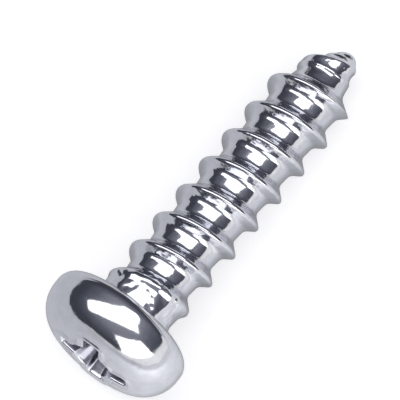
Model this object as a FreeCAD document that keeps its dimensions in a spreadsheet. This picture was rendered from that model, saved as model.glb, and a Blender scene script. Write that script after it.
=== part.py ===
"""One-piece bone screw: domed head with a cross recess, short plain neck, coarse thread and blunt point.

Everything is turned and rolled from one bar, so the screw is a single body. Its own axis is the body's
Z axis, with the bearing face of the head at height zero, the dome below it and the point above it.
The finished body is then laid down on its head rim and on the thread near the point.
"""
import FreeCAD, Part
import math
import os

import Sketcher

V = FreeCAD.Vector

# Driving dimensions in millimetres and degrees: alias, value, what it sets
DIMENSIONS = (
    ("head_diameter", 11.5, "widest part of the head"),
    ("dome_height", 3.0, "from the edge land to the top of the dome"),
    ("shoulder_radius", 2.75, "arc between the edge land and the crown of the dome"),
    ("edge_land", 0.4, "straight edge round the head"),
    ("underside_height", 1.15, "from the edge land to the bearing face"),
    ("underside_turn", 51.0, "how far the rounding turns before it meets the bearing face"),
    ("neck_relief", 0.3, "how far the plain neck lies below the crests"),
    ("neck_length", 1.2, "bearing face to the start of the thread's crest"),
    ("neck_chamfer", 0.35, "sloping corner between the neck and the bearing face"),
    ("neck_step_angle", 45.0, "slope from the neck up to the crest, from the axis"),
    ("thread_diameter", 6.5, "over the crests"),
    ("thread_depth", 0.8, "from the crest down to the floor of the groove"),
    ("thread_pitch", 2.75, "axial advance in one turn"),
    ("crest_width", 0.22, "flat land left at the crest"),
    ("flank_angle", 40.0, "each flank, from a plane square to the axis"),
    ("shank_length", 26.1, "bearing face to the tip of the point"),
    ("point_angle", 70.0, "full angle of the point's cone"),
    ("nose_radius", 1.0, "rounded end of the point"),
    ("core_taper_length", 4.6, "stretch at the point where the core tapers"),
    ("core_taper_angle", 18.0, "slope of the tapered core, from the axis"),
    ("groove_start_angle", 180.0, "direction round the axis where the full groove starts"),
    ("runout_angle", 16.5, "slope at which the groove leaves the bar beside the head"),
    ("runout_clearance", 0.03, "height above the neck where the groove's run-out ends"),
    ("head_clearance", 0.08, "from the bearing face to the side of the groove's run-out"),
    ("tool_clearance", 0.6, "reach of the cutting sections beyond the bar"),
    ("recess_span", 6.4, "across opposite wings of the cross recess at the dome's top"),
    ("recess_width", 1.45, "width of each wing at the dome's top"),
    ("recess_depth", 2.6, "depth of the wings below the dome's top"),
    ("wing_end_angle", 26.5, "slope of each wing's outer end, from the axis"),
    ("wing_side_angle", 3.0, "draft of each wing's sides, from the axis"),
    ("hub_diameter", 3.8, "centre of the recess at the dome's top"),
    ("hub_depth", 3.3, "depth of the pointed centre of the recess"),
    ("hub_tip_diameter", 1.6, "flat at the bottom of the recess's centre"),
    ("recess_turn", 74.0, "direction of the first wing round the axis"),
    ("rest_turn", 262.3, "direction round the axis that faces up when the screw lies down"),
)

# Sizes and places that several features share, as expressions on the sheet
HEAD_RADIUS = "(Dims.head_diameter / 2)"
LAND_TOP = "(Dims.underside_height + Dims.edge_land)"
HEAD_HEIGHT = "(Dims.underside_height + Dims.edge_land + Dims.dome_height)"
UNDERSIDE_RADIUS = "(Dims.underside_height / sin(Dims.underside_turn * 1 deg))"
CREST_RADIUS = "(Dims.thread_diameter / 2)"
FLOOR_RADIUS = "(Dims.thread_diameter / 2 - Dims.thread_depth)"
NECK_RADIUS = "(Dims.thread_diameter / 2 - Dims.neck_relief)"
POINT_SLOPE = "(Dims.point_angle / 2)"
GROOVE_HALF = "((Dims.thread_pitch - Dims.crest_width) / 2)"
RUNOUT_RISE = "(Dims.thread_depth - Dims.neck_relief + Dims.runout_clearance)"
RUNOUT_LENGTH = "(%s / tan(Dims.runout_angle * 1 deg))" % RUNOUT_RISE
GROOVE_START = "(Dims.head_clearance + %s + %s)" % (GROOVE_HALF, RUNOUT_LENGTH)
GROOVE_END = "(Dims.shank_length - Dims.core_taper_length)"
START_TURN = "(Dims.groove_start_angle * 1 deg)"
END_TURN = "(%s + 360 deg * (%s - %s) / Dims.thread_pitch)" % (START_TURN, GROOVE_END, GROOVE_START)

doc = FreeCAD.newDocument("bone_screw")
sheet = doc.addObject("Spreadsheet::Sheet", "Dims")
for row, (alias, size, note) in enumerate(DIMENSIONS, start=1):
    sheet.set("A%d" % row, str(size))
    sheet.setAlias("A%d" % row, alias)
    sheet.set("B%d" % row, note)
doc.recompute()

body = doc.addObject("PartDesign::Body", "Screw")
body.Label = "screw"


def value(expression):
    """What an expression on the sheet comes to, in millimetres or degrees."""
    result = sheet.evalExpression(expression)
    return float(getattr(result, "Value", result))


def cell(alias):
    """One size of the sheet."""
    return value("Dims." + alias)


class Outline:
    """A closed outline in a sketch of the body, with its sizes bound to the sheet."""

    # The sketch's own origin and axes, as the solver counts them
    ORIGIN = (-1, 1)
    SIDE_AXIS_INDEX = -1
    MAIN_AXIS_INDEX = -2

    def __init__(self, name, plane="XZ_Plane"):
        self.sketch = body.newObject("Sketcher::SketchObject", name)
        role = [feature for feature in body.Origin.OriginFeatures if feature.Role == plane]
        self.sketch.AttachmentSupport = [(role[0], "")]
        self.sketch.MapMode = "FlatFace"
        self.ends = []

    def turn(self, expression, about=V(0, 1, 0)):
        """Turns the sketch's plane round the screw's axis."""
        self.sketch.AttachmentOffset = FreeCAD.Placement(V(), FreeCAD.Rotation(about, 1))
        self.sketch.setExpression("AttachmentOffset.Rotation.Angle", expression)

    def raise_by(self, expression):
        """Moves the sketch's plane along its own normal."""
        self.sketch.setExpression("AttachmentOffset.Base.z", expression)

    def line(self, start, end):
        """Adds a straight side and returns its index."""
        index = self.sketch.addGeometry(Part.LineSegment(V(*start), V(*end)), False)
        self.ends.append(((index, 1), (index, 2)))
        return index

    def arc(self, centre, start, end):
        """Adds a round side of less than half a turn and returns its index."""
        first = math.atan2(start[1] - centre[1], start[0] - centre[0])
        last = math.atan2(end[1] - centre[1], end[0] - centre[0])
        circle = Part.Circle(V(*centre), V(0, 0, 1), math.dist(centre, start))
        anticlockwise = (last - first) % (2 * math.pi) < math.pi
        if anticlockwise:
            index = self.sketch.addGeometry(Part.ArcOfCircle(circle, first, last), False)
            self.ends.append(((index, 1), (index, 2)))
        else:
            index = self.sketch.addGeometry(Part.ArcOfCircle(circle, last, first), False)
            self.ends.append(((index, 2), (index, 1)))
        return index

    def close(self, smooth=()):
        """Joins each side to the next, tangent after the sides that are named in smooth."""
        for place, (_, end) in enumerate(self.ends):
            start = self.ends[(place + 1) % len(self.ends)][0]
            kind = "Tangent" if end[0] in smooth else "Coincident"
            self.sketch.addConstraint(Sketcher.Constraint(kind, *end, *start))

    def rule(self, kind, *items):
        """Adds a geometric constraint without a size."""
        self.sketch.addConstraint(Sketcher.Constraint(kind, *items))

    def size(self, kind, expression, *items):
        """Adds a dimension that follows an expression on the sheet."""
        first = value(expression)
        if kind == "Angle":
            first = math.radians(first)
        index = self.sketch.addConstraint(Sketcher.Constraint(kind, *items, first))
        self.sketch.setExpression("Constraints[%d]" % index, expression)

    def at(self, point, across=None, along=None):
        """Places a point by its distance from the axis and its height along it."""
        if across is not None:
            self.size("DistanceX", across, *self.ORIGIN, *point)
        if along is not None:
            self.size("DistanceY", along, *self.ORIGIN, *point)


def crown_radius():
    """Radius of the dome's crown, tangent to its shoulder arc."""
    height = cell("dome_height")
    shoulder = cell("shoulder_radius")
    reach = value(HEAD_RADIUS) - shoulder
    return (reach**2 + height**2 - shoulder**2) / (2 * (height - shoulder))


def point_cone():
    """The cone of the point: where its slope starts on the bar and where its nose starts."""
    slope = math.radians(value(POINT_SLOPE))
    nose = cell("nose_radius")
    nose_edge = (nose * math.cos(slope), cell("shank_length") - nose + nose * math.sin(slope))
    crest = value(CREST_RADIUS)
    return (crest, nose_edge[1] - (crest - nose_edge[0]) / math.tan(slope)), nose_edge


def blank():
    """The turned bar: head, neck, full thread diameter and point, as one revolution."""
    rim = value(HEAD_RADIUS)
    under = -cell("underside_height")
    under_radius = value(UNDERSIDE_RADIUS)
    face_rim = rim - under_radius * (1 - math.cos(math.radians(cell("underside_turn"))))
    land_top = -value(LAND_TOP)
    top = -value(HEAD_HEIGHT)
    shoulder = cell("shoulder_radius")
    crown = crown_radius()
    neck = value(NECK_RADIUS)
    bevel = cell("neck_chamfer")
    neck_end = cell("neck_length")
    step_end = neck_end + cell("neck_relief") / math.tan(math.radians(cell("neck_step_angle")))
    tip = cell("shank_length")
    cone_start, nose_edge = point_cone()
    shoulder_centre = (rim - shoulder, land_top)
    lean = math.atan2(land_top - top - crown, rim - shoulder)
    meeting = (crown * math.cos(lean), top + crown + crown * math.sin(lean))

    o = Outline("BlankOutline")
    dome = o.arc((0, top + crown), (0, top), meeting)
    corner = o.arc(shoulder_centre, meeting, (rim, land_top))
    land = o.line((rim, land_top), (rim, under))
    underside = o.arc((rim - under_radius, under), (rim, under), (face_rim, 0))
    face = o.line((face_rim, 0), (neck + bevel, 0))
    root = o.line((neck + bevel, 0), (neck, bevel))
    plain = o.line((neck, bevel), (neck, neck_end))
    step = o.line((neck, neck_end), (cone_start[0], step_end))
    bar = o.line((cone_start[0], step_end), cone_start)
    cone = o.line(cone_start, nose_edge)
    nose = o.arc((0, tip - cell("nose_radius")), nose_edge, (0, tip))
    axis = o.line((0, tip), (0, top))
    o.close(smooth=(dome, corner, land, cone))

    for upright in (land, plain, bar, axis):
        o.rule("Vertical", upright)
    o.rule("Horizontal", face)
    o.rule("PointOnObject", dome, 3, o.MAIN_AXIS_INDEX)
    o.rule("PointOnObject", nose, 3, o.MAIN_AXIS_INDEX)
    o.rule("PointOnObject", face, 2, o.SIDE_AXIS_INDEX)
    o.rule("PointOnObject", axis, 1, o.MAIN_AXIS_INDEX)
    o.size("Radius", "Dims.shoulder_radius", corner)
    o.size("Radius", UNDERSIDE_RADIUS, underside)
    o.size("Radius", "Dims.nose_radius", nose)
    o.at((land, 1), HEAD_RADIUS, "-" + LAND_TOP)
    o.at((axis, 2), None, "-" + HEAD_HEIGHT)
    o.at((root, 1), NECK_RADIUS + " + Dims.neck_chamfer")
    o.at((root, 2), None, "Dims.neck_chamfer")
    o.at((plain, 2), NECK_RADIUS, "Dims.neck_length")
    o.at((bar, 1), CREST_RADIUS)
    o.at((axis, 1), None, "Dims.shank_length")
    o.size("Angle", "90 deg - Dims.neck_step_angle * 1 deg", step)
    o.size("Angle", "90 deg + %s * 1 deg" % POINT_SLOPE, cone)

    turned = body.newObject("PartDesign::Revolution", "Blank")
    turned.Profile = o.sketch
    turned.ReferenceAxis = (o.sketch, ["V_Axis"])
    turned.Angle = 360


def groove_section(name, height, turn):
    """The section of the thread's groove: a flat floor, two flanks and straight sides beyond the bar."""
    floor = value(FLOOR_RADIUS)
    crest = value(CREST_RADIUS)
    outer = crest + cell("tool_clearance")
    middle = value(height)
    half = value(GROOVE_HALF)
    corner = half - cell("thread_depth") * math.tan(math.radians(cell("flank_angle")))

    o = Outline(name)
    o.turn(turn)
    bottom = o.line((floor, middle - corner), (floor, middle + corner))
    upper_flank = o.line((floor, middle + corner), (crest, middle + half))
    upper_side = o.line((crest, middle + half), (outer, middle + half))
    back = o.line((outer, middle + half), (outer, middle - half))
    lower_side = o.line((outer, middle - half), (crest, middle - half))
    lower_flank = o.line((crest, middle - half), (floor, middle - corner))
    o.close()

    o.rule("Vertical", bottom)
    o.rule("Vertical", back)
    o.rule("Horizontal", upper_side)
    o.rule("Horizontal", lower_side)
    o.size("Angle", "90 deg - Dims.flank_angle * 1 deg", upper_flank)
    o.size("Angle", "90 deg + Dims.flank_angle * 1 deg", lower_flank)
    o.at((bottom, 1), FLOOR_RADIUS)
    o.at((upper_side, 1), CREST_RADIUS, height + " + " + GROOVE_HALF)
    o.at((lower_side, 2), CREST_RADIUS, height + " - " + GROOVE_HALF)
    o.at((back, 1), CREST_RADIUS + " + Dims.tool_clearance")
    return o.sketch


def cut_groove(name, section, length, slope=None, towards_head=False):
    """Sweeps the groove's section round the axis at the thread's pitch, on a cylinder or a cone."""
    cut = body.newObject("PartDesign::SubtractiveHelix", name)
    cut.Profile = section
    cut.ReferenceAxis = (section, ["V_Axis"])
    cut.Mode = 0
    cut.LeftHanded = False
    cut.Reversed = towards_head
    cut.setExpression("Pitch", "Dims.thread_pitch")
    cut.setExpression("Height", length)
    if slope:
        cut.setExpression("Angle", slope)


def thread():
    """The thread's groove: full depth along the bar, shallower over the point and beside the head."""
    section = groove_section("GrooveSection", GROOVE_START, START_TURN)
    cut_groove("Groove", section, GROOVE_END + " - " + GROOVE_START)
    section = groove_section("PointSection", GROOVE_END, END_TURN)
    cut_groove("PointGroove", section, "Dims.core_taper_length - Dims.nose_radius / 2",
               "-Dims.core_taper_angle * 1 deg")
    section = groove_section("RunoutSection", GROOVE_START, START_TURN)
    cut_groove("GrooveRunout", section, RUNOUT_LENGTH, "Dims.runout_angle * 1 deg", towards_head=True)


def wing_section(name, height, half_span, half_width):
    """A rectangle across the axis: two opposite wings of the cross recess at one level."""
    across = value(half_span)
    wide = value(half_width)
    corners = ((-across, -wide), (across, -wide), (across, wide), (-across, wide))

    o = Outline(name, "XY_Plane")
    o.turn("Dims.recess_turn * 1 deg", about=V(0, 0, 1))
    o.raise_by(height)
    sides = [o.line(corners[k], corners[(k + 1) % 4]) for k in range(4)]
    o.close()
    for kind, side in zip(("Horizontal", "Vertical") * 2, sides):
        o.rule(kind, side)
    o.at((sides[0], 2), half_span, "-" + half_width)
    o.at((sides[2], 2), "-" + half_span, half_width)
    return o.sketch


def cross_recess():
    """The drive: four wings with sloping ends, and a pointed hub where they meet."""
    mouth_level = "-%s - Dims.tool_clearance" % HEAD_HEIGHT
    wing_floor_level = "-%s + Dims.recess_depth" % HEAD_HEIGHT
    span = "(Dims.recess_span / 2 %s * tan(Dims.wing_end_angle * 1 deg))"
    width = "(Dims.recess_width / 2 %s * tan(Dims.wing_side_angle * 1 deg))"
    above = "+ Dims.tool_clearance"
    below = "- Dims.recess_depth"

    mouth = wing_section("WingMouth", mouth_level, span % above, width % above)
    wings = body.newObject("PartDesign::SubtractiveLoft", "Wings")
    wings.Profile = mouth
    wings.Sections = [wing_section("WingFloor", wing_floor_level, span % below, width % below)]
    wings.Ruled = True
    crossed = body.newObject("PartDesign::PolarPattern", "CrossWings")
    crossed.Originals = [wings]
    crossed.Axis = (mouth, ["N_Axis"])
    crossed.Angle = 90
    crossed.Occurrences = 2
    body.Tip = crossed

    over = value(mouth_level)
    top = -value(HEAD_HEIGHT)
    low = top + cell("hub_depth")
    hub = cell("hub_diameter") / 2
    tip = cell("hub_tip_diameter") / 2
    o = Outline("HubSection")
    lid = o.line((0, over), (hub, over))
    wall = o.line((hub, over), (hub, top))
    slope = o.line((hub, top), (tip, low))
    flat = o.line((tip, low), (0, low))
    centre = o.line((0, low), (0, over))
    o.close()
    o.rule("Horizontal", lid)
    o.rule("Horizontal", flat)
    o.rule("Vertical", wall)
    o.rule("PointOnObject", centre, 1, o.MAIN_AXIS_INDEX)
    o.rule("PointOnObject", centre, 2, o.MAIN_AXIS_INDEX)
    o.at((lid, 1), None, mouth_level)
    o.at((slope, 1), "Dims.hub_diameter / 2", "-" + HEAD_HEIGHT)
    o.at((slope, 2), "Dims.hub_tip_diameter / 2", "-%s + Dims.hub_depth" % HEAD_HEIGHT)
    pointed = body.newObject("PartDesign::Groove", "Hub")
    pointed.Profile = o.sketch
    pointed.ReferenceAxis = (o.sketch, ["V_Axis"])
    pointed.Angle = 360


def resting_crest():
    """Height along the axis of the last full crest on the side that the screw lies on."""
    pitch = cell("thread_pitch")
    cone_start, _ = point_cone()
    lower_side = cell("rest_turn") + 180
    turned = (lower_side - cell("groove_start_angle")) / 360 % 1
    first = value(GROOVE_START) + pitch * (0.5 + turned)
    full_turns = math.floor((cone_start[1] - cell("crest_width") / 2 - first) / pitch)
    return first + full_turns * pitch


def lie_down():
    """Lays the screw on the edge of its head and on its last full crest, centred over the origin."""
    lip = value(UNDERSIDE_RADIUS)
    drop = value(HEAD_RADIUS) - lip - value(CREST_RADIUS)
    run = resting_crest() + cell("crest_width") / 2 + cell("underside_height")
    slope = math.degrees(math.atan2(drop, run) + math.asin(lip / math.hypot(run, drop)))
    laid = FreeCAD.Rotation(V(0, 1, 0), 90 + slope)
    facing = FreeCAD.Rotation(V(0, 0, 1), 180 - cell("rest_turn"))
    body.Placement = FreeCAD.Placement(V(), laid.multiply(facing))
    doc.recompute()
    box = body.Shape.optimalBoundingBox(False, False)
    body.Placement.Base = V(-box.Center.x, -box.Center.y, -box.ZMin)
    doc.recompute()


def check():
    """Stops if a feature failed, if a cut took nothing away, or if the screw isn't one sound solid."""
    for item in doc.Objects:
        if "Invalid" in item.State or "Error" in item.State:
            raise RuntimeError("%s failed: %s" % (item.Name, item.State))
    features = [item for item in body.Group if item.isDerivedFrom("PartDesign::Feature")]
    for before, after in zip(features, features[1:]):
        if after.Shape.Volume >= before.Shape.Volume:
            raise RuntimeError("%s takes nothing away" % after.Name)
    shape = body.Shape
    if shape.isNull() or not shape.isValid() or len(shape.Solids) != 1:
        raise RuntimeError("the screw isn't one sound solid")


blank()
thread()
cross_recess()
doc.recompute()
lie_down()
check()
os.makedirs("parts", exist_ok=True)
body.Shape.exportStep("parts/%s.step" % body.Label)
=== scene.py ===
"""A polished steel bone screw with a cross recess, lying on a white studio floor."""

import math

import bmesh
import bpy
from mathutils import Matrix, Vector


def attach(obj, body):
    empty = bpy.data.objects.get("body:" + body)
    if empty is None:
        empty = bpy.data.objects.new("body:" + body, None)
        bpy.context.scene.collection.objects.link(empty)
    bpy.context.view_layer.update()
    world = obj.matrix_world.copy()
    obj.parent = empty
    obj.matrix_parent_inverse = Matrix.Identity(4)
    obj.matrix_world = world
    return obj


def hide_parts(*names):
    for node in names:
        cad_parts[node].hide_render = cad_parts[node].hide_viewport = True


MM = 0.001

# Sizes are in millimetres and angles in degrees. The screw's own axis is Z: the bearing face under the
# head lies at height 0, the dome below it and the point above it.
APEX = -4.55
CROWN_RADIUS = 20.875
SHOULDER_RADIUS = 2.75
SHOULDER_CENTRE = (3.0, -1.55)
DOME_EDGE = 4.9
LAND_LOW = -1.15
UNDERSIDE = (1.2, 1.15)
FOOT_RADIUS = 3.3
PITCH = 2.75
TIP = 26.1

# The cross recess: sizes at the mouth, and how they close with depth.
WING_REACH = 3.2
WING_HALF_WIDTH = 0.725
WING_CORNER = 0.32
WING_END_ANGLE = 26.5
WING_SIDE_ANGLE = 3.0
WING_DEPTH = 2.6
HUB_RADIUS = 1.9
HUB_TIP_RADIUS = 0.8
HUB_DEPTH = 3.3
RIM_ROUNDING = 0.16
RIM_BEAD = 0.12
BEAD_WIDTH = 0.55
RECESS_TURN = 74.0

# The shank: the inputs of its tree, in millimetres and radians.
SHANK = {
    "Foot Radius": FOOT_RADIUS,
    "Neck Radius": 2.95,
    "Neck Taper": math.radians(5.0),
    "Neck End": 1.8,
    "Neck End Twist": 0.5,
    "Neck Slope": 0.62,
    "Thread Radius": 3.25,
    "Thread Depth": 0.8,
    "Pitch": PITCH,
    "Groove Floor": 0.594,
    "Floor Lean": math.radians(5.0),
    "Flank Angle": math.radians(40.0),
    "Root Rounding": 0.6,
    "Crest Rounding": 0.236,
    "First Ridge Rounding": 0.45,
    "Groove Start": 3.134,
    "Runout Angle": math.radians(16.5),
    "Runout End": 1.345,
    "Taper Start": 21.5,
    "Taper Angle": math.radians(18.0),
    "Point Angle": math.radians(37.0),
    "Point Wave": 1.0,
    "Nose Radius": 1.0,
    "Tip": TIP,
    "Bend Start": 22.9,
    "Bend": 0.06,
}
BEND_TO = (0.6, -0.8)

# Heights over which something grows or fades: it is 0 at the first and 1 at the second.
FIRST_RIDGE_FADES = (4.2, 2.6)
WAVE_GROWS = (22.4, 23.2)
WAVE_FADES = (25.6, 25.0)

# The mesh: points round the screw, level rings up to a height on the neck, and then rows that climb
# with the thread, so many to one turn of it.
ROUND = 120
RING_HEIGHT = 0.04
RINGS_END = 1.5
ROWS_PER_PITCH = 50
# How far the rows crowd together at the thread's crest: 0 is evenly spaced.
CROWDING = 0.6
# Rings on each part of the head.
WALL_STEPS = 14
RIM_STEPS = 5
BEAD_STEPS = 12
DOME_STEPS = 16
SHOULDER_STEPS = 16
UNDERSIDE_STEPS = 14
# Points closer than this become one, and edges sharper than this aren't shaded smooth.
WELD = 1e-4
SHARP_ANGLE = 38.0

# How the screw lies: its own frame inside the row frame.
LEAN = 6.651852
ROLL = 262.3
BEARING_CENTRE = Vector((-10.637194, 0.0, 5.588043))

# The photograph's view: its heading and height, and where the head's middle lies in the picture.
HEADING = math.radians(38.2)
CAMERA_HEIGHT = math.radians(78.0)
CAMERA_DISTANCE = 0.7
PICTURE = 400
PIXEL = 0.073 * MM
HEAD_MIDDLE = -1.55
HEAD_MIDDLE_PIXEL = (115.6, 332.4)

LAMP_HEIGHT = 0.6
LAMP_RADIANCE = 1.9
FLOOR_HALF_SIDE = 1.5
# What the floor gives off to the camera alone, which brings it up to white.
FLOOR_LIFT = 0.54

STEEL = (0.74, 0.75, 0.785, 1.0)
DULLER_STEEL = (0.66, 0.67, 0.71, 1.0)
# Painted shade: the darker steel inside the recess.
SHADED_RECESS_STEEL = (0.42, 0.425, 0.475, 1.0)
FLOOR_PAINT = (0.665, 0.67, 0.695, 1.0)
FLOOR_GLOW_COLOUR = (1.0, 0.99, 0.97, 1.0)
BLACK = (0.0, 0.0, 0.0, 1.0)
WHITE = (1.0, 1.0, 1.0, 1.0)

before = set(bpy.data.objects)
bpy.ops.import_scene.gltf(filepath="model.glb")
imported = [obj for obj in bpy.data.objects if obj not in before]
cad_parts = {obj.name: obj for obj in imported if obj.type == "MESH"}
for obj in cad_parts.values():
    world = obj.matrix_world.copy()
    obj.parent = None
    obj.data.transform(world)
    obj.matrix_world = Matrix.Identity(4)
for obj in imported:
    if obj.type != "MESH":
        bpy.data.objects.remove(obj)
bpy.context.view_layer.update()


def lying():
    """The matrix that takes the screw from its own frame, in millimetres, to the floor."""
    laid = Matrix.Rotation(math.radians(90 + LEAN), 4, "Y")
    rolled = Matrix.Rotation(math.radians(180 - ROLL), 4, "Z")
    return Matrix.Scale(MM, 4) @ Matrix.Translation(BEARING_CENTRE) @ laid @ rolled


class Wire:
    """A socket of a node tree, with the arithmetic that an expression needs."""

    def __init__(self, tree, socket=None):
        self.tree = tree
        self.socket = socket

    def add(self, kind, settings=None, sockets=None, out=0):
        """Adds a node: its settings first, then the values or links of its sockets."""
        node = self.tree.nodes.new(kind)
        for name, setting in (settings or {}).items():
            if name == "stops":
                self.set_stops(node.color_ramp.elements, setting)
            else:
                setattr(node, name, setting)
        for name, given in (sockets or {}).items():
            if isinstance(given, Wire):
                self.tree.links.new(given.socket, node.inputs[name])
            else:
                node.inputs[name].default_value = given
        return Wire(self.tree, node.outputs[out])

    @staticmethod
    def set_stops(elements, stops):
        """Gives a colour ramp its stops."""
        while len(elements) < len(stops):
            elements.new(1.0)
        for element, (position, colour) in zip(elements, stops):
            element.position = position
            element.color = colour

    def other(self, out):
        """Another output of the same node."""
        return Wire(self.tree, self.socket.node.outputs[out])

    def maths(self, operation, *terms):
        return self.add("ShaderNodeMath", {"operation": operation}, dict(enumerate(terms)))

    def __add__(self, term):
        return self.maths("ADD", self, term)

    __radd__ = __add__

    def __sub__(self, term):
        return self.maths("SUBTRACT", self, term)

    def __rsub__(self, term):
        return self.maths("SUBTRACT", term, self)

    def __mul__(self, term):
        return self.maths("MULTIPLY", self, term)

    __rmul__ = __mul__

    def __truediv__(self, term):
        return self.maths("DIVIDE", self, term)

    def __rtruediv__(self, term):
        return self.maths("DIVIDE", term, self)

    def __lt__(self, term):
        return self.maths("LESS_THAN", self, term)

    def __gt__(self, term):
        return self.maths("GREATER_THAN", self, term)

    def low(self, term):
        return self.maths("MINIMUM", self, term)

    def high(self, term):
        return self.maths("MAXIMUM", self, term)

    def root(self):
        return self.maths("SQRT", self.high(0.0))

    def size(self):
        return self.maths("ABSOLUTE", self)

    def sine(self):
        return self.maths("SINE", self)

    def cosine(self):
        return self.maths("COSINE", self)

    def tangent(self):
        return self.maths("TANGENT", self)

    def held(self):
        """Held between 0 and 1."""
        return self.high(0.0).low(1.0)

    def between(self, zero, one):
        """0 at the first value and 1 at the second, straight in between and level beyond."""
        return ((self - zero) / (one - zero)).held()

    def parts(self):
        """The three numbers of a vector."""
        first = self.add("ShaderNodeSeparateXYZ", None, {0: self})
        return first, first.other(1), first.other(2)

    def dot(self, direction):
        """How far a vector reaches in a direction."""
        return self.add("ShaderNodeVectorMath", {"operation": "DOT_PRODUCT"}, {0: self, 1: direction}, 1)

    def noise(self, scale, detail, roughness=0.5):
        """Noise at the place that this vector names."""
        sockets = {"Vector": self, "Scale": scale, "Detail": detail, "Roughness": roughness}
        return self.add("ShaderNodeTexNoise", None, sockets)

    def blend(self, first, second):
        """The first colour where this is 0 and the second where it is 1."""
        return self.add("ShaderNodeMix", {"data_type": "RGBA"}, {0: self, 6: first, 7: second}, 2)


def turns_below(size, height, turn):
    """How many turns of the groove lie below a height, at one place round the screw."""
    return (height - size["Groove Start"]) / size["Pitch"] - turn + 0.5


def corner_reach(size, rounding):
    """How far the rounding of the corner beside a flank reaches along each of its faces."""
    return rounding * ((math.pi / 2 - size["Flank Angle"]) / 2.0).tangent()


def thread_rows(size, row, turn, rings):
    """The height of each point: level rings first, then rows that climb with the thread."""
    pitch = size["Pitch"]
    ring_rise = (row * RING_HEIGHT).low(RINGS_END)
    level = (row - rings) * (PITCH / ROWS_PER_PITCH) + (RINGS_END - pitch)
    phase = (level - size["Groove Start"]) / pitch * (2 * math.pi)
    crowded = phase.sine() * pitch * (-CROWDING / (2 * math.pi))
    return ring_rise.high(level + crowded + turn * pitch)


def point_profile(size, rise, turn):
    """The points' heights once they follow the nose, and the radius of the point there."""
    lean, nose = size["Point Angle"], size["Nose Radius"]
    # The nose is a ball on the end of the point's cone.
    ball_centre = size["Tip"] - nose
    cone_end = ball_centre + nose * lean.sine()
    cone_end_radius = nose * lean.cosine()
    over = (rise - cone_end).high(0.0) / cone_end_radius
    swing = (lean + over).low(math.pi / 2)
    on_ball = rise > cone_end
    along = rise * (1.0 - on_ball) + (ball_centre + nose * swing.sine()) * on_ball
    # The thread's last turn is left on the cone as a low wave.
    winding = turns_below(size, rise, turn) * (2 * math.pi)
    waved = rise.between(*WAVE_GROWS) * rise.between(*WAVE_FADES)
    wave = winding.sine() * (size["Pitch"] / (2 * math.pi)) * waved * size["Point Wave"]
    cone = cone_end_radius + (cone_end - along - wave) * lean.tangent()
    return along, cone * (1.0 - on_ball) + nose * swing.cosine() * on_ball


def bar_radius(size, along, angle):
    """The bar before the groove is cut: the neck with its rounded foot, then a slope up to the crest."""
    rounding = size["Foot Radius"] - size["Neck Radius"]
    down = (rounding - along).high(0.0)
    fillet = rounding - (rounding * rounding - down * down).root()
    # The neck widens a little; the slope begins higher on one side, as the thread climbs.
    plain = (along - rounding).high(0.0).low(size["Neck End"])
    widened = size["Neck Radius"] + plain * size["Neck Taper"].tangent()
    slope_start = size["Neck End"] + angle.cosine() * size["Neck End Twist"]
    climbed = ((along - slope_start) / size["Neck Slope"]).held()
    eased = climbed * climbed * (3.0 - 2.0 * climbed)
    return widened + fillet + eased * (size["Thread Radius"] - widened)


def groove_radius(size, along, turn):
    """The groove's surface, from the two turns of it that lie next to each point."""
    flank, root, floor_end = size["Flank Angle"], size["Root Rounding"], size["Groove Floor"]
    slope = 1.0 / flank.tangent()
    # The rounding begins on the floor and ends a little way up the flank.
    reach = corner_reach(size, root)
    arc_start = floor_end - reach
    arc_end = floor_end + reach * flank.sine()
    floor_radius = size["Thread Radius"] - size["Thread Depth"]
    outward, inward = size["Runout Angle"].tangent(), size["Taper Angle"].tangent()
    lean_rise = size["Floor Lean"].tangent()
    sink = (along - size["Taper Start"]).high(0.0) * inward
    clear_of_bar = 10.0

    def surface(aside, centre, side):
        """The radius at a distance to one side of the groove's centre."""
        bend = (aside - arc_start).high(0.0)
        rounded = root - (root * root - bend * bend).root()
        steep = aside > arc_end
        shape = rounded * (1.0 - steep) + (aside - floor_end) * slope * steep
        white_lift_and_painted_light = (size["Groove Start"] - centre).high(0.0) * outward
        gone = (centre < size["Runout End"]) * clear_of_bar
        return floor_radius + shape + aside * lean_rise * side + white_lift_and_painted_light - sink + gone

    turns = turns_below(size, along, turn)
    below = (turns - turns.maths("FLOOR", turns)) * size["Pitch"]
    above = size["Pitch"] - below
    return surface(below, along - below, 1.0).low(surface(above, along + above, -1.0))


def with_crest(size, along, bar, groove):
    """The bar less the groove, with the crest's edges rounded until the two roundings meet."""
    flank = size["Flank Angle"]
    soft = size["Crest Rounding"] + along.between(*FIRST_RIDGE_FADES) * size["First Ridge Rounding"]
    tuck = corner_reach(size, soft)
    inside = (groove - bar) * flank.tangent()
    turned_in = tuck - inside
    rounded = bar - soft + (soft * soft - turned_in * turned_in).root()
    near = (turned_in > 0.0) * (inside > tuck * flank.sine() * -1.0)
    return (rounded * near + bar.low(groove) * (1.0 - near)).high(0.0)


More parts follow.
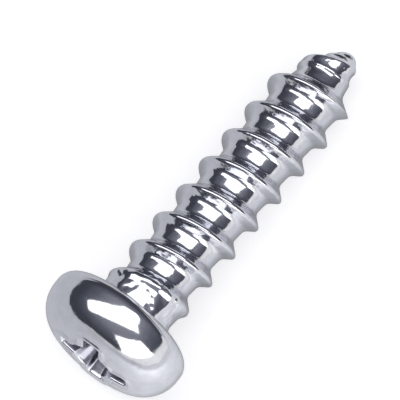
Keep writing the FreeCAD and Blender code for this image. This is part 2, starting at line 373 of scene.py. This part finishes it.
def shank_tree():
    """Geometry nodes that form the neck, the threaded shank and its point from their sizes."""
    tree = bpy.data.node_groups.new("threaded_shank", "GeometryNodeTree")
    face = tree.interface
    face.new_socket("Geometry", in_out="OUTPUT", socket_type="NodeSocketGeometry")
    face.new_socket("Metal", in_out="INPUT", socket_type="NodeSocketMaterial")
    for name, value in SHANK.items():
        face.new_socket(name, in_out="INPUT", socket_type="NodeSocketFloat").default_value = value
    given = tree.nodes.new("NodeGroupInput")
    size = {name: Wire(tree, given.outputs[name]) for name in SHANK}
    start = Wire(tree)

    # A flat grid: its columns go round the screw and its rows climb from the head to past the tip.
    rings = math.ceil(RINGS_END / RING_HEIGHT) + 1
    climb = TIP + 1.0 - RINGS_END + PITCH
    rows = rings + math.ceil(climb / (PITCH / ROWS_PER_PITCH)) + 2
    grid = start.add(
        "GeometryNodeMeshGrid",
        None,
        {"Size X": 1.0, "Size Y": 1.0, "Vertices X": ROUND + 1, "Vertices Y": rows},
    )
    column, line, _ = start.add("GeometryNodeInputPosition").parts()
    turn = column + 0.5
    row = (line + 0.5) * (rows - 1)
    angle = turn * (2 * math.pi)

    rise = thread_rows(size, row, turn, rings)
    along, point_radius = point_profile(size, rise, turn)
    bar = bar_radius(size, along, angle).low(point_radius)
    radius = with_crest(size, along, bar, groove_radius(size, along, turn))

    # The point is a little off centre.
    past = (along - size["Bend Start"]).high(0.0)
    moved_aside = past * past * size["Bend"]
    x = radius * angle.cosine() + moved_aside * BEND_TO[0]
    y = radius * angle.sine() + moved_aside * BEND_TO[1]
    shaped = start.add("ShaderNodeCombineXYZ", None, {0: x, 1: y, 2: along})
    moved = start.add("GeometryNodeSetPosition", None, {"Geometry": grid, "Position": shaped})
    welded = start.add("GeometryNodeMergeByDistance", None, {"Geometry": moved, "Distance": WELD})
    real = start.add("GeometryNodeRealizeInstances", None, {"Geometry": welded})
    metal = Wire(tree, given.outputs["Metal"])
    clad = start.add("GeometryNodeSetMaterial", None, {"Geometry": real, "Material": metal})
    end = tree.nodes.new("NodeGroupOutput")
    tree.links.new(clad.socket, end.inputs["Geometry"])
    return tree


def formed_shank(metal):
    """The shank's mesh in the screw's own frame: the tree's result as a plain mesh."""
    former = bpy.data.objects.new("shank_former", bpy.data.meshes.new("shank_former"))
    bpy.context.scene.collection.objects.link(former)
    modifier = former.modifiers.new("threaded_shank", "NODES")
    tree = shank_tree()
    modifier.node_group = tree
    inputs = {i.name: i.identifier for i in tree.interface.items_tree if i.in_out == "INPUT"}
    modifier[inputs["Metal"]] = metal
    seen = former.evaluated_get(bpy.context.evaluated_depsgraph_get())
    mesh = bpy.data.meshes.new_from_object(seen)
    former.modifiers.remove(modifier)
    bpy.data.objects.remove(former)
    return mesh


def arc(centre, radius, begin, end, steps):
    """Points along an arc, angles in degrees."""
    made = []
    for k in range(steps + 1):
        a = math.radians(begin + (end - begin) * k / steps)
        made.append((centre[0] + radius * math.cos(a), centre[1] + radius * math.sin(a)))
    return made


def circle(radius):
    """As many points as there are columns on the shank."""
    step = 2 * math.pi / ROUND
    return [(radius * math.cos(k * step), radius * math.sin(k * step)) for k in range(ROUND)]


def turned(points, degrees):
    """Points turned about the axis."""
    c, s = math.cos(math.radians(degrees)), math.sin(math.radians(degrees))
    return [(c * x - s * y, s * x + c * y) for x, y in points]


def mixed(first, second, share):
    """Points part of the way from one outline to another."""
    return [tuple(a + (b - a) * share for a, b in zip(p, q)) for p, q in zip(first, second)]


def flat_ring(points, level):
    """An outline laid at one height."""
    return [(x, y, level) for x, y in points]


def normals_of(points):
    """Outward normals of a closed outline that runs anticlockwise."""
    made = []
    for i in range(len(points)):
        before, after = points[i - 1], points[(i + 1) % len(points)]
        length = math.hypot(after[0] - before[0], after[1] - before[1])
        made.append(((after[1] - before[1]) / length, -(after[0] - before[0]) / length))
    return made


def crown_height(across):
    """Where the dome's crown lies at a distance from the axis."""
    return APEX + CROWN_RADIUS - math.sqrt(CROWN_RADIUS ** 2 - across ** 2)


def crown_edge():
    """How far from the axis the crown's arc meets the shoulder's."""
    cx, cz = SHOULDER_CENTRE
    return cx + SHOULDER_RADIUS * cx / math.hypot(cx, cz - APEX - CROWN_RADIUS)


def head_height(across):
    """Where the dome or its shoulder lies at a distance from the axis."""
    if across <= crown_edge():
        return crown_height(across)
    cx, cz = SHOULDER_CENTRE
    return cz - math.sqrt(SHOULDER_RADIUS ** 2 - (across - cx) ** 2)


def hub_radius(depth):
    """The radius of the recess's centre at a depth."""
    return HUB_RADIUS + depth * (HUB_TIP_RADIUS - HUB_RADIUS) / HUB_DEPTH


def recess_outline(depth):
    """The recess's outline at a depth, with the same number of points at every depth."""
    reach = WING_REACH - depth * math.tan(math.radians(WING_END_ANGLE))
    half = WING_HALF_WIDTH - depth * math.tan(math.radians(WING_SIDE_ANGLE))
    hub = hub_radius(depth)
    meet = math.asin(half / hub)
    foot = hub * math.cos(meet)
    side, level = reach - WING_CORNER, half - WING_CORNER
    # Half a wing's end, its corner, its side, and the round centre up to the middle between two wings.
    eighth = [(reach, 0.0), (reach, level * 0.6)]
    eighth += arc((side, level), WING_CORNER, 0, 90, 4)
    eighth += [(side + (foot - side) * k / 5, half) for k in range(1, 6)]
    eighth += arc((0.0, 0.0), hub, math.degrees(meet), 45, 4)[1:]
    quarter = eighth[:-1] + [(y, x) for x, y in reversed(eighth)][:-1]
    whole = []
    for k in range(4):
        whole += turned(quarter, 90 * k)
    # Turned as the recess is, and started at the point nearest to the screw's first column.
    shift = round(RECESS_TURN / 360 * len(whole))
    placed = turned(whole, RECESS_TURN)
    return placed[-shift:] + placed[:-shift]


def recess_rings():
    """Rings of points from the middle of the recess's bottom, over the floor of its wings."""
    tip_level, floor_level = APEX + HUB_DEPTH, APEX + WING_DEPTH
    hub_floor = circle(HUB_TIP_RADIUS)
    hub_mouth = circle(hub_radius(WING_DEPTH))
    wing_floor = recess_outline(WING_DEPTH)
    middle = [(0, 0)] * ROUND
    rings = [flat_ring(mixed(middle, hub_floor, share), tip_level) for share in (0.1, 0.55)]
    for share in (0.0, 0.35, 0.7, 1.0):
        level = tip_level + (floor_level - tip_level) * share
        rings.append(flat_ring(mixed(hub_floor, hub_mouth, share), level))
    for share in (0.25, 0.6, 0.93, 1.0):
        rings.append(flat_ring(mixed(hub_mouth, wing_floor, share), floor_level))
    return rings


def recess_rim():
    """The outline at which the recess's walls end and the rim's rounding begins."""
    rim = []
    for mouth, low in zip(recess_outline(0.0), recess_outline(WING_DEPTH)):
        # The walls are straight lines, so a few tries find where each of them meets the dome.
        depth = 0.0
        for _ in range(6):
            share = depth / WING_DEPTH
            x, y = mouth[0] + (low[0] - mouth[0]) * share, mouth[1] + (low[1] - mouth[1]) * share
            depth = crown_height(math.hypot(x, y)) - APEX + RIM_ROUNDING
        rim.append((x, y, APEX + depth))
    return rim


def dome_rings(rim):
    """Rings over the rounded rim and the dome, out to a plain circle."""
    rings = []
    outward = normals_of(rim)
    for k in range(1, RIM_STEPS + 1):
        a = math.radians(90 * k / RIM_STEPS)
        aside = RIM_ROUNDING * (1 - math.cos(a))
        ring = []
        for (x, y, z), (nx, ny) in zip(rim, outward):
            surface = crown_height(math.hypot(x + nx * RIM_ROUNDING, y + ny * RIM_ROUNDING))
            ring.append((x + nx * aside, y + ny * aside, z + (surface - z) * math.sin(a)))
        rings.append(ring)
    # The punch has raised the metal a little all round the mouth.
    mouth = [(x, y) for x, y, _ in rings[-1]]
    for k in range(1, BEAD_STEPS + 1):
        share = k / BEAD_STEPS
        raised = RIM_BEAD * math.sin(math.pi * share) ** 2
        ring = []
        for (x, y), (nx, ny) in zip(mouth, outward):
            px, py = x + nx * BEAD_WIDTH * share, y + ny * BEAD_WIDTH * share
            ring.append((px, py, head_height(math.hypot(px, py)) - raised))
        rings.append(ring)
    mouth = [(x, y) for x, y, _ in rings[-1]]
    for k in range(1, DOME_STEPS + 1):
        flat = mixed(mouth, circle(DOME_EDGE), k / DOME_STEPS)
        rings.append([(x, y, head_height(math.hypot(x, y))) for x, y in flat])
    return rings


def head_side():
    """The head's profile from the dome's edge to the foot of the neck, as radius and height."""
    cx, cz = SHOULDER_CENTRE
    begin = -math.degrees(math.acos((DOME_EDGE - cx) / SHOULDER_RADIUS))
    line = arc(SHOULDER_CENTRE, SHOULDER_RADIUS, begin, 0, SHOULDER_STEPS)[1:]
    widest = cx + SHOULDER_RADIUS
    line += [(widest, cz + (LAND_LOW - cz) * share) for share in (0.5, 1.0)]
    across, high = UNDERSIDE
    inner = widest - across
    for k in range(1, UNDERSIDE_STEPS + 1):
        a = math.pi / 2 * k / UNDERSIDE_STEPS
        line.append((inner + across * math.cos(a), LAND_LOW + high * math.sin(a)))
    for share in (0.04, 0.3, 0.65, 0.96, 1.0):
        line.append((inner + (FOOT_RADIUS - inner) * share, 0.0))
    return line


def head_rings():
    """Rings of points from the bottom of the recess, over the dome, to the foot of the neck."""
    rings = recess_rings()
    rim = recess_rim()
    floor = rings[-1]
    rings += [mixed(floor, rim, k / WALL_STEPS) for k in range(1, WALL_STEPS + 1)]
    rings += dome_rings(rim)
    rings += [flat_ring(circle(radius), level) for radius, level in head_side()]
    return rings


def head_mesh():
    """The head as one open shell, from the bottom of the recess to the foot of the neck."""
    made = bmesh.new()
    rings = [[made.verts.new(p) for p in ring] for ring in head_rings()]
    made.faces.new(rings[0])
    for low, high in zip(rings, rings[1:]):
        for i in range(ROUND):
            j = (i + 1) % ROUND
            made.faces.new((low[i], low[j], high[j], high[i]))
    mesh = bpy.data.meshes.new("head")
    made.to_mesh(mesh)
    made.free()
    return mesh


def screw(metal):
    """The whole screw as one closed mesh, lying on the floor."""
    whole = bmesh.new()
    for mesh in (head_mesh(), formed_shank(metal)):
        whole.from_mesh(mesh)
    bmesh.ops.remove_doubles(whole, verts=whole.verts, dist=WELD)
    bmesh.ops.recalc_face_normals(whole, faces=whole.faces)
    for f in whole.faces:
        f.smooth = True
    bmesh.ops.transform(whole, matrix=lying(), verts=whole.verts)
    mesh = bpy.data.meshes.new("bone_screw")
    whole.to_mesh(mesh)
    whole.free()
    mesh.materials.append(metal)
    mesh.set_sharp_from_angle(angle=math.radians(SHARP_ANGLE))
    piece = bpy.data.objects.new("bone_screw", mesh)
    bpy.context.scene.collection.objects.link(piece)
    return piece


def polished_steel():
    """Mirror-polished steel: faint blue grey, fine turning lines, a slightly wavy surface and painted shade
    in the recess.
    """
    metal = bpy.data.materials.new("polished_steel")
    metal.use_nodes = True
    tree = metal.node_tree
    tree.nodes.clear()
    start = Wire(tree)
    # Places in the screw's own frame, in millimetres.
    where = start.add("ShaderNodeTexCoord", None, None, "Object")
    basis = lying()
    own = start.add(
        "ShaderNodeMapping",
        {"vector_type": "TEXTURE"},
        {
            "Vector": where,
            "Location": basis.translation,
            "Rotation": basis.to_euler(),
            "Scale": (MM, MM, MM),
        },
    )
    x, y, z = own.parts()
    across = (x * x + y * y).root()

    # The rolled shank is less even than the turned head, and the run-out and the point least of all.
    rolled = z.between(-0.5, 1.5)
    run_out = z.between(-0.2, 0.4) * z.between(3.1, 2.5)
    pointed = z.between(23.4, 24.2)
    lines = start.add("ShaderNodeCombineXYZ", None, {0: across * 9.0, 1: z * 9.0, 2: 0.0}).noise(1.0, 2.0)
    waves = own.noise(0.8, 2.0) * (0.022 + rolled * 0.05 + pointed * 0.09)
    ripples = own.noise(1.5, 0.0) * (rolled * 0.008 + run_out * 0.10)
    relief = waves + ripples + lines * 0.0006
    bump = start.add("ShaderNodeBump", None, {"Strength": 1.0, "Distance": MM, "Height": relief})

    # Inside the recess, behind the crown's surface, the punched metal is less smooth, and painted shade makes
    # it darker.
    crown = (APEX + CROWN_RADIUS) - (CROWN_RADIUS ** 2 - across * across).root()
    above_floor = z < APEX + HUB_DEPTH + 0.2
    in_wings = across < WING_REACH + 0.1
    rough_and_shaded_recess = (z - crown).between(0.12, 0.37) * above_floor * in_wings
    patches = own.noise(1.4, 4.0, 0.6).between(0.35, 0.7)
    shell = start.add(
        "ShaderNodeBsdfPrincipled",
        None,
        {
            "Base Color": rough_and_shaded_recess.blend(patches.blend(STEEL, DULLER_STEEL), SHADED_RECESS_STEEL),
            "Metallic": 1.0,
            "Roughness": 0.07 + patches * 0.05 + lines * 0.03 + rough_and_shaded_recess * 0.09,
            "Normal": bump,
        },
    )
    end = tree.nodes.new("ShaderNodeOutputMaterial")
    tree.links.new(shell.socket, end.inputs["Surface"])
    return metal


def floor_axes():
    """The picture's right and its depth, both level."""
    ahead = Vector((math.cos(HEADING), math.sin(HEADING), 0.0))
    return Vector((ahead.y, -ahead.x, 0.0)), ahead


def white_floor():
    """A white floor that keeps the shadow; in the metal it shows painted light in front and painted shade
    close by.
    """
    paint = bpy.data.materials.new("white_floor")
    paint.use_nodes = True
    tree = paint.node_tree
    tree.nodes.clear()
    start = Wire(tree)
    to_camera = start.add("ShaderNodeLightPath", None, None, "Is Camera Ray")
    in_metal = to_camera.other("Is Glossy Ray")
    right, ahead = floor_axes()
    spot = start.add("ShaderNodeTexCoord", None, None, "Object")
    aside, beyond = spot.dot(right), spot.dot(ahead)
    # Painted light, seen only in the metal: the floor glows brighter to the right, and brightest in a painted
    # pool of light in front of the head.
    painted_pool_centre = (right * 4 - ahead * 48) * MM
    off = start.add("ShaderNodeVectorMath", {"operation": "DISTANCE"}, {0: spot, 1: painted_pool_centre}, 1)
    painted_light = aside.between(-22 * MM, 28 * MM) * 0.22 + off.between(40 * MM, 0) * 0.7
    # Painted shade, seen only in the metal: the floor is darker far behind the screw, and a painted shadow of
    # the screw lies right beside it.
    painted_dark_behind = beyond.between(30 * MM, 44 * MM) * aside.between(-34 * MM, -14 * MM)
    along, from_axis, _ = spot.parts()
    beside = along.between(-16.5 * MM, -13.5 * MM) * along.between(17.5 * MM, 14.5 * MM)
    painted_shadow_beside = from_axis.size().between(10.5 * MM, 0) * beside
    painted_shade = (painted_dark_behind * 0.88).high(painted_shadow_beside * 0.6) * in_metal
    # The painted shade also turns the floor's paint towards black, in the metal alone.
    diffuse = start.add("ShaderNodeBsdfDiffuse", None, {"Color": painted_shade.blend(FLOOR_PAINT, BLACK)})
    # The floor's glow: the lift to white for the camera, plus the painted light seen in the metal.
    white_lift_and_painted_light = to_camera * FLOOR_LIFT + in_metal * painted_light * (1.0 - painted_shade)
    glow = start.add("ShaderNodeEmission", None, {"Color": FLOOR_GLOW_COLOUR, "Strength": white_lift_and_painted_light})
    both = start.add("ShaderNodeAddShader", None, {0: diffuse, 1: glow})
    end = tree.nodes.new("ShaderNodeOutputMaterial")
    tree.links.new(both.socket, end.inputs["Surface"])
    mesh = bpy.data.meshes.new("studio_floor")
    corners = [(x * FLOOR_HALF_SIDE, y * FLOOR_HALF_SIDE, 0) for x, y in ((-1, -1), (1, -1), (1, 1), (-1, 1))]
    mesh.from_pydata(corners, [], [(0, 1, 2, 3)])
    mesh.materials.append(paint)
    floor = bpy.data.objects.new("studio_floor", mesh)
    bpy.context.scene.collection.objects.link(floor)


def surroundings():
    """A dark studio, a little paler overhead, with a pale low wall in front and at the right."""
    world = bpy.data.worlds.new("studio")
    bpy.context.scene.world = world
    world.use_nodes = True
    tree = world.node_tree
    tree.nodes.clear()
    start = Wire(tree)
    where = start.add("ShaderNodeTexCoord", None, None, "Generated")
    height = where.parts()[2]
    right, ahead = floor_axes()
    facing = where.dot((right * 0.57 - ahead * 0.82).normalized())
    # How high the wall's top edge looks, from the direction away from its middle (0) to its middle (1).
    heights = ((0.36, 0.0), (0.50, 0.13), (0.74, 0.12), (0.80, 0.24), (0.90, 0.24), (0.95, 0.32))
    stops = [(position, (top, top, top, 1.0)) for position, top in heights]
    wall_top = start.add("ShaderNodeValToRGB", {"stops": stops}, {0: facing * 0.5 + 0.5})
    wall = ((wall_top - height) / 0.02).held()
    wall_light = 0.62 + facing.held() * 0.40
    pale = start.add("ShaderNodeCombineXYZ", None, {0: wall_light, 1: wall_light, 2: wall_light})
    sky = (
        (0.0, (0.050, 0.054, 0.070, 1.0)),
        (0.3, (0.062, 0.066, 0.085, 1.0)),
        (0.6, (0.135, 0.14, 0.172, 1.0)),
        (0.85, (0.26, 0.265, 0.31, 1.0)),
        (1.0, (0.30, 0.305, 0.35, 1.0)),
    )
    room = wall.blend(start.add("ShaderNodeValToRGB", {"stops": sky}, {0: height}), pale)
    # The camera itself sees only white.
    to_camera = start.add("ShaderNodeLightPath", None, None, "Is Camera Ray")
    seen = to_camera.blend(room, WHITE)
    glow = start.add("ShaderNodeBackground", None, {"Color": seen, "Strength": 1.0})
    end = tree.nodes.new("ShaderNodeOutputWorld")
    tree.links.new(glow.socket, end.inputs["Surface"])


def facing_back(place, side, back):
    """The matrix of a camera or lamp at a place, with its own right and backward directions."""
    return Matrix.Translation(place) @ Matrix((side, back.cross(side), back)).transposed().to_4x4()


def camera():
    """The photograph's viewpoint: high, and from far away."""
    right, ahead = floor_axes()
    back = Vector((0, 0, 1)) * math.sin(CAMERA_HEIGHT) - ahead * math.cos(CAMERA_HEIGHT)
    up = back.cross(right)
    mark = lying() @ Vector((0, 0, HEAD_MIDDLE))
    aside = (PICTURE / 2 - HEAD_MIDDLE_PIXEL[0]) * PIXEL
    above = (HEAD_MIDDLE_PIXEL[1] - PICTURE / 2) * PIXEL
    aim = mark + right * aside + up * above
    data = bpy.data.cameras.new("camera")
    data.lens = data.sensor_width * CAMERA_DISTANCE / (PICTURE * PIXEL)
    data.clip_start = 0.01
    data.clip_end = 10.0
    eye = bpy.data.objects.new("camera", data)
    eye.matrix_world = facing_back(aim + back * CAMERA_DISTANCE, right, back)
    bpy.context.scene.collection.objects.link(eye)
    bpy.context.scene.camera = eye


def panel(name, middle, facing, wide, high, turn):
    """A rectangular lamp, with its place and direction along the picture's right, ahead and up.

    Its middle and its sides are in shares of the lamps' height.
    """
    right, ahead = floor_axes()
    axes = Matrix((right, ahead, Vector((0, 0, 1)))).transposed()
    back = -(axes @ Vector(facing)).normalized()
    side = (right - back * right.dot(back)).normalized()
    side = Matrix.Rotation(math.radians(turn), 3, back) @ side
    data = bpy.data.lights.new(name, "AREA")
    data.shape = "RECTANGLE"
    data.size = wide * LAMP_HEIGHT
    data.size_y = high * LAMP_HEIGHT
    data.energy = LAMP_RADIANCE * math.pi * data.size * data.size_y
    lamp = bpy.data.objects.new(name, data)
    lamp.matrix_world = facing_back(axes @ Vector(middle) * LAMP_HEIGHT, side, back)
    bpy.context.scene.collection.objects.link(lamp)


def lamps():
    """A wide softbox overhead and a smaller one in front, both a little turned."""
    panel("overhead_softbox", (-0.40, 0.17, 1.0), (0, 0, -1), wide=2.05, high=0.74, turn=-11)
    panel("front_softbox", (0.18, -1.0, 0.72), (0, 1, 0), wide=1.35, high=0.9, turn=12)


steel = polished_steel()
piece = screw(steel)
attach(piece, "root")
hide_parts("screw")

white_floor()
surroundings()
camera()
lamps()

scene = bpy.context.scene
scene.view_settings.view_transform = "Standard"
